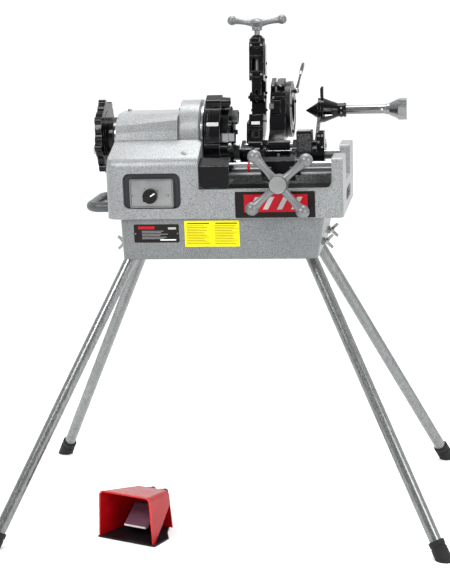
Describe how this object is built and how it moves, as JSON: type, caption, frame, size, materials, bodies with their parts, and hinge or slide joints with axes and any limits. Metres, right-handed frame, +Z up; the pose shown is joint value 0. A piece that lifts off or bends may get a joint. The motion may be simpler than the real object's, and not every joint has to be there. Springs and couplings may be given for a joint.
{
  "type": "pipe threading machine",
  "caption": "Pipe threading machine on four splayed legs, with chucks, swing-out cutter, die head and reamer on a carriage, and a guarded foot switch.",
  "frame": {"origin": "on the floor, midway between the four rubber feet", "axes": "+X along the spindle towards the reamer, +Y to the rear, +Z up; the operator stands at -Y"},
  "size_m": [1.2786, 0.8962, 1.392],
  "materials": {
    "hammertone": "hammertone",
    "tray_paint": "hammertone",
    "galvanised": "satin",
    "rubber": "matte",
    "zinc": "satin",
    "bronze": "satin",
    "steel": "polished",
    "black_paint": "gloss",
    "black_oxide": "satin",
    "cam_plate": "satin",
    "chrome": "polished",
    "cast_aluminium": "cast",
    "handle_paint": "satin",
    "black_plastic": "satin",
    "red_paint": "gloss",
    "pedal_plastic": "satin"
  },
  "bodies": {
    "root": {"bed_casting": "hammertone", "headstock_cover": "hammertone", "cover_screws": "zinc", "base_tray": "tray_paint", "chip_tray": "zinc", "leg_tubes": "galvanised", "rubber_feet": "rubber", "front_rail": "steel", "rear_rail": "steel", "feed_rack": "steel", "oil_pump": "black_paint", "carry_handle": "handle_paint", "switch_panel": "cast_aluminium", "motor_housing": "black_paint", "spindle_bushes": "bronze", "chuck_guard": "black_paint"},
    "spindle": {"spindle": "steel", "spindle_gear": "steel", "chuck_body": "black_paint", "rear_chuck_body": "black_paint"},
    "layshaft": {"layshaft": "steel"},
    "motor_rotor": {"motor_rotor": "steel"},
    "hammer_wheel": {"hammer_wheel": "black_paint"},
    "rear_scroll_wheel": {"rear_scroll_wheel": "black_paint"},
    "front_jaw_1": {"front_jaw_1": "steel"},
    "front_jaw_2": {"front_jaw_2": "steel"},
    "front_jaw_3": {"front_jaw_3": "steel"},
    "rear_jaw_1": {"rear_jaw_1": "steel"},
    "rear_jaw_2": {"rear_jaw_2": "steel"},
    "rear_jaw_3": {"rear_jaw_3": "steel"},
    "leg_clamp_1": {"leg_clamp_1": "zinc"},
    "leg_clamp_2": {"leg_clamp_2": "zinc"},
    "leg_clamp_3": {"leg_clamp_3": "zinc"},
    "leg_clamp_4": {"leg_clamp_4": "zinc"},
    "switch_knob": {"switch_knob": "black_plastic"},
    "cutter_frame": {"cutter_frame": "black_paint"},
    "cutter_slide": {"cutter_slide": "black_paint"},
    "cutter_screw": {"cutter_screw": "cast_aluminium"},
    "cutter_wheel": {"cutter_wheel": "steel"},
    "cutter_roller_1": {"cutter_roller_1": "steel"},
    "cutter_roller_2": {"cutter_roller_2": "steel"},
    "chaser_1": {"chaser_1": "steel"},
    "chaser_2": {"chaser_2": "steel"},
    "chaser_3": {"chaser_3": "steel"},
    "chaser_4": {"chaser_4": "steel"},
    "foot_pedal": {"foot_pedal": "pedal_plastic"},
    "carriage": {"carriage": "black_paint", "swing_shaft": "steel"},
    "handwheel": {"handwheel": "cast_aluminium", "pinion_shaft": "steel"},
    "die_head": {"die_head_body": "black_paint"},
    "die_cam": {"die_cam_ring": "cam_plate", "die_lever": "chrome"},
    "reamer_arm": {"reamer_arm": "black_paint", "reamer_latch": "black_oxide"},
    "reamer": {"reamer_shaft": "steel", "reamer_cone": "black_oxide"},
    "foot_switch": {"foot_switch_base": "black_plastic", "foot_switch_guard": "red_paint", "cable_glands": "black_plastic"}
  },
  "joints": [
    {"name": "spindle_spin", "type": "hinge", "parent": "root", "child": "spindle", "pos_m": [-0.2, 0, 1.078], "axis": [1, 0, 0], "continuous": true},
    {"name": "layshaft_spin", "type": "hinge", "parent": "root", "child": "layshaft", "pos_m": [-0.23, 0, 0.993], "axis": [1, 0, 0], "continuous": true},
    {"name": "motor_spin", "type": "hinge", "parent": "root", "child": "motor_rotor", "pos_m": [-0.15, 0, 0.945], "axis": [1, 0, 0], "continuous": true},
    {"name": "hammer_wheel_turn", "type": "hinge", "parent": "spindle", "child": "hammer_wheel", "pos_m": [-0.01, 0, 1.078], "axis": [1, 0, 0], "range_deg": [0, 90]},
    {"name": "front_jaw_1_move", "type": "slide", "parent": "spindle", "child": "front_jaw_1", "axis": [0, -0.5, -0.866], "range_m": [0, 0.02201]},
    {"name": "front_jaw_2_move", "type": "slide", "parent": "spindle", "child": "front_jaw_2", "axis": [0, 1, 0], "range_m": [0, 0.02201]},
    {"name": "front_jaw_3_move", "type": "slide", "parent": "spindle", "child": "front_jaw_3", "axis": [0, -0.5, 0.866], "range_m": [0, 0.02201]},
    {"name": "rear_scroll_turn", "type": "hinge", "parent": "spindle", "child": "rear_scroll_wheel", "pos_m": [-0.333, 0, 1.078], "axis": [1, 0, 0], "range_deg": [0, 90]},
    {"name": "rear_jaw_1_move", "type": "slide", "parent": "spindle", "child": "rear_jaw_1", "axis": [0, 0, -1], "range_m": [0, 0.02201]},
    {"name": "rear_jaw_2_move", "type": "slide", "parent": "spindle", "child": "rear_jaw_2", "axis": [0, 0.866, 0.5], "range_m": [0, 0.02201]},
    {"name": "rear_jaw_3_move", "type": "slide", "parent": "spindle", "child": "rear_jaw_3", "axis": [0, -0.866, 0.5], "range_m": [0, 0.02201]},
    {"name": "carriage_slide", "type": "slide", "parent": "root", "child": "carriage", "axis": [1, 0, 0], "range_m": [-0.012, 0.04]},
    {"name": "handwheel_turn", "type": "hinge", "parent": "carriage", "child": "handwheel", "pos_m": [0.183, -0.24, 0.973], "axis": [0, 1, 0], "range_deg": [-230, 70]},
    {"name": "cutter_swing", "type": "hinge", "parent": "carriage", "child": "cutter_frame", "pos_m": [0.0685, 0.162, 1.024], "axis": [1, 0, 0], "range_deg": [0, 100]},
    {"name": "cutter_slide_move", "type": "slide", "parent": "cutter_frame", "child": "cutter_slide", "axis": [0, 0.1736, 0.9848], "range_m": [-0.01401, 0.03301]},
    {"name": "cutter_screw_turn", "type": "hinge", "parent": "cutter_slide", "child": "cutter_screw", "pos_m": [0.0715, 0.26727, 1.31007], "axis": [0, 0.1736, 0.9848], "range_deg": [-1008, 2376]},
    {"name": "cutter_wheel_spin", "type": "hinge", "parent": "cutter_slide", "child": "cutter_wheel", "pos_m": [0.0715, 0.24036, 1.15742], "axis": [1, 0, 0], "continuous": true},
    {"name": "cutter_roller_1_spin", "type": "hinge", "parent": "cutter_frame", "child": "cutter_roller_1", "pos_m": [0.0715, 0.21163, 1.09242], "axis": [1, 0, 0], "continuous": true},
    {"name": "cutter_roller_2_spin", "type": "hinge", "parent": "cutter_frame", "child": "cutter_roller_2", "pos_m": [0.0715, 0.24512, 1.08652], "axis": [1, 0, 0], "continuous": true},
    {"name": "die_head_swing", "type": "hinge", "parent": "carriage", "child": "die_head", "pos_m": [0.141, 0.162, 1.024], "axis": [1, 0, 0], "range_deg": [0, 130]},
    {"name": "die_cam_turn", "type": "hinge", "parent": "die_head", "child": "die_cam", "pos_m": [0.161, 0.3075, 1.11339], "axis": [1, 0, 0], "range_deg": [-25, 0]},
    {"name": "chaser_1_move", "type": "slide", "parent": "die_head", "child": "chaser_1", "axis": [0, 0.9726, -0.2323], "range_m": [0, 0.00451]},
    {"name": "chaser_2_move", "type": "slide", "parent": "die_head", "child": "chaser_2", "axis": [0, -0.2323, -0.9726], "range_m": [0, 0.00451]},
    {"name": "chaser_3_move", "type": "slide", "parent": "die_head", "child": "chaser_3", "axis": [0, -0.9726, 0.2323], "range_m": [0, 0.00451]},
    {"name": "chaser_4_move", "type": "slide", "parent": "die_head", "child": "chaser_4", "axis": [0, 0.2323, 0.9726], "range_m": [0, 0.00451]},
    {"name": "reamer_swing", "type": "hinge", "parent": "carriage", "child": "reamer_arm", "pos_m": [0.24, 0.162, 1.024], "axis": [1, 0, 0], "range_deg": [0, 132]},
    {"name": "reamer_slide", "type": "slide", "parent": "reamer_arm", "child": "reamer", "axis": [-1, 0, 0], "range_m": [0, 0.05]},
    {"name": "switch_knob_turn", "type": "hinge", "parent": "root", "child": "switch_knob", "pos_m": [-0.172, -0.21, 0.938], "axis": [0, -1, 0], "range_deg": [-90, 0]},
    {"name": "leg_clamp_1_turn", "type": "hinge", "parent": "root", "child": "leg_clamp_1", "pos_m": [-0.27, -0.0877, 0.79], "axis": [-1, 0, 0], "range_deg": [0, 360]},
    {"name": "leg_clamp_2_turn", "type": "hinge", "parent": "root", "child": "leg_clamp_2", "pos_m": [0.27, -0.0877, 0.79], "axis": [1, 0, 0], "range_deg": [0, 360]},
    {"name": "leg_clamp_3_turn", "type": "hinge", "parent": "root", "child": "leg_clamp_3", "pos_m": [-0.27, 0.0877, 0.79], "axis": [-1, 0, 0], "range_deg": [0, 360]},
    {"name": "leg_clamp_4_turn", "type": "hinge", "parent": "root", "child": "leg_clamp_4", "pos_m": [0.27, 0.0877, 0.79], "axis": [1, 0, 0], "range_deg": [0, 360]},
    {"name": "foot_switch_place", "type": "slide", "parent": "root", "child": "foot_switch", "axis": [0, -1, 0], "range_m": [0, 0.05]},
    {"name": "foot_pedal_press", "type": "hinge", "parent": "foot_switch", "child": "foot_pedal", "pos_m": [-0.21074, -0.23866, 0.034], "axis": [-0.9272, 0.3746, 0], "range_deg": [0, 6], "stiffness_Nm_per_rad": 2, "springref_deg": -9.74}
  ],
  "couplings": [
    {"joint": "layshaft_spin", "follows": "spindle_spin", "ratio": -1.8333},
    {"joint": "motor_spin", "follows": "spindle_spin", "ratio": 5.5},
    {"joint": "front_jaw_1_move", "follows": "hammer_wheel_turn", "m_per_rad": 0.014006},
    {"joint": "rear_jaw_1_move", "follows": "rear_scroll_turn", "m_per_rad": 0.014006},
    {"joint": "front_jaw_2_move", "follows": "hammer_wheel_turn", "m_per_rad": 0.014006},
    {"joint": "rear_jaw_2_move", "follows": "rear_scroll_turn", "m_per_rad": 0.014006},
    {"joint": "front_jaw_3_move", "follows": "hammer_wheel_turn", "m_per_rad": 0.014006},
    {"joint": "rear_jaw_3_move", "follows": "rear_scroll_turn", "m_per_rad": 0.014006},
    {"joint": "handwheel_turn", "follows": "carriage_slide", "rad_per_m": -100},
    {"joint": "cutter_slide_move", "follows": "cutter_screw_turn", "m_per_rad": 0.00079577},
    {"joint": "chaser_1_move", "follows": "die_cam_turn", "m_per_rad": -0.010313},
    {"joint": "chaser_2_move", "follows": "die_cam_turn", "m_per_rad": -0.010313},
    {"joint": "chaser_3_move", "follows": "die_cam_turn", "m_per_rad": -0.010313},
    {"joint": "chaser_4_move", "follows": "die_cam_turn", "m_per_rad": -0.010313}
  ]
}
